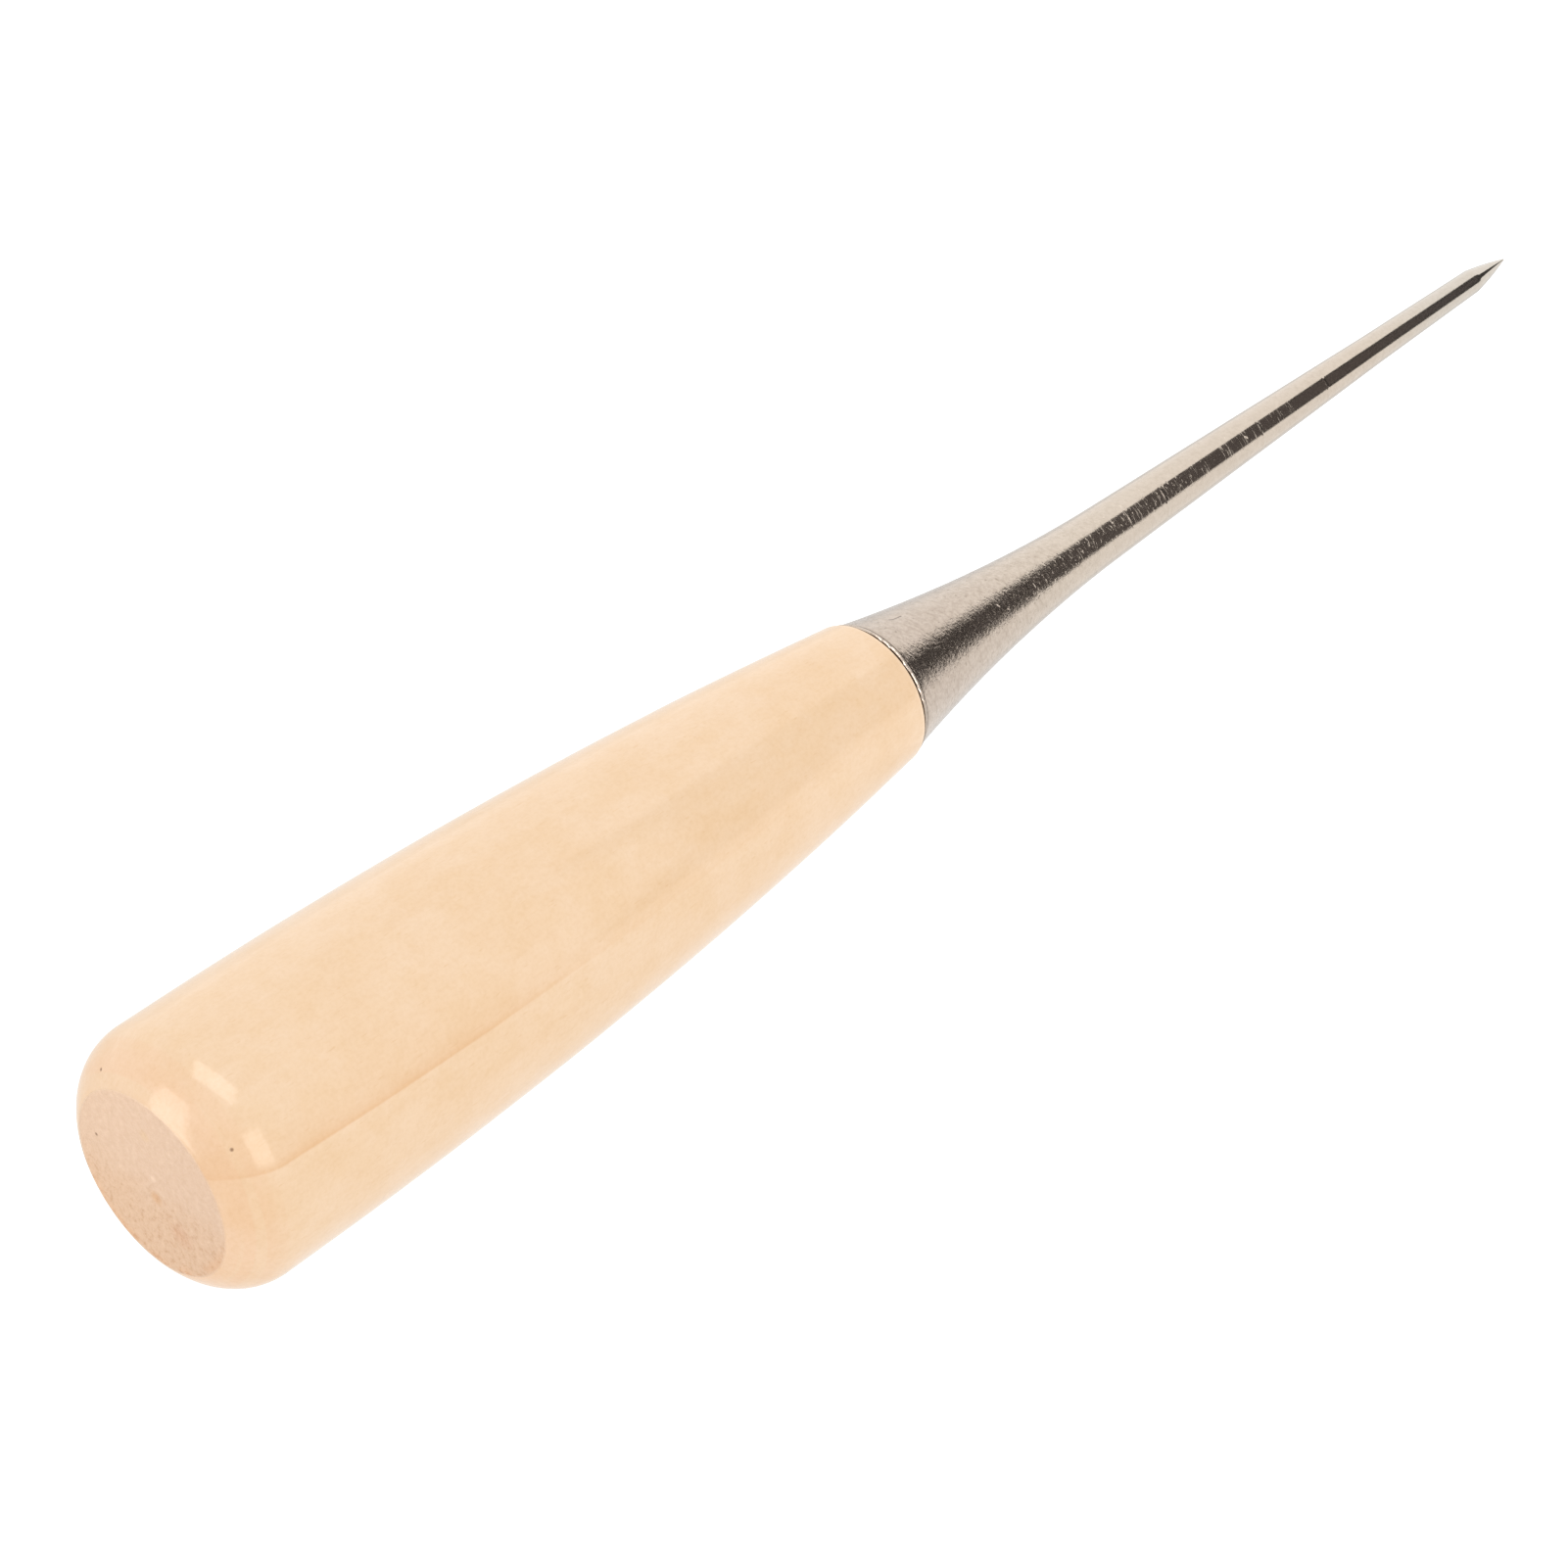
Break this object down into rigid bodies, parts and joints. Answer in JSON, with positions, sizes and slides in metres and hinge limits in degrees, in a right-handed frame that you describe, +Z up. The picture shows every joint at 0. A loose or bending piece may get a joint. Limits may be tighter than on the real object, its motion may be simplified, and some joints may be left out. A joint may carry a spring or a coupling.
{
  "type": "scratch awl",
  "caption": "Scratch awl with a round taper-ground steel blade, a flared bolster and a turned hardwood handle with a flat butt.",
  "frame": {"origin": "centre of the handle's flat butt face, on the awl's axis", "axes": "+X along the awl's axis from the butt to the point; the awl lies with its axis level, +Z up"},
  "size_m": [0.15, 0.0184, 0.0184],
  "materials": {
    "wood": "satin",
    "steel": "satin",
    "adhesive": "gloss"
  },
  "bodies": {
    "root": {"handle": "wood", "blade": "steel", "tang_adhesive": "adhesive"}
  },
  "joints": []
}
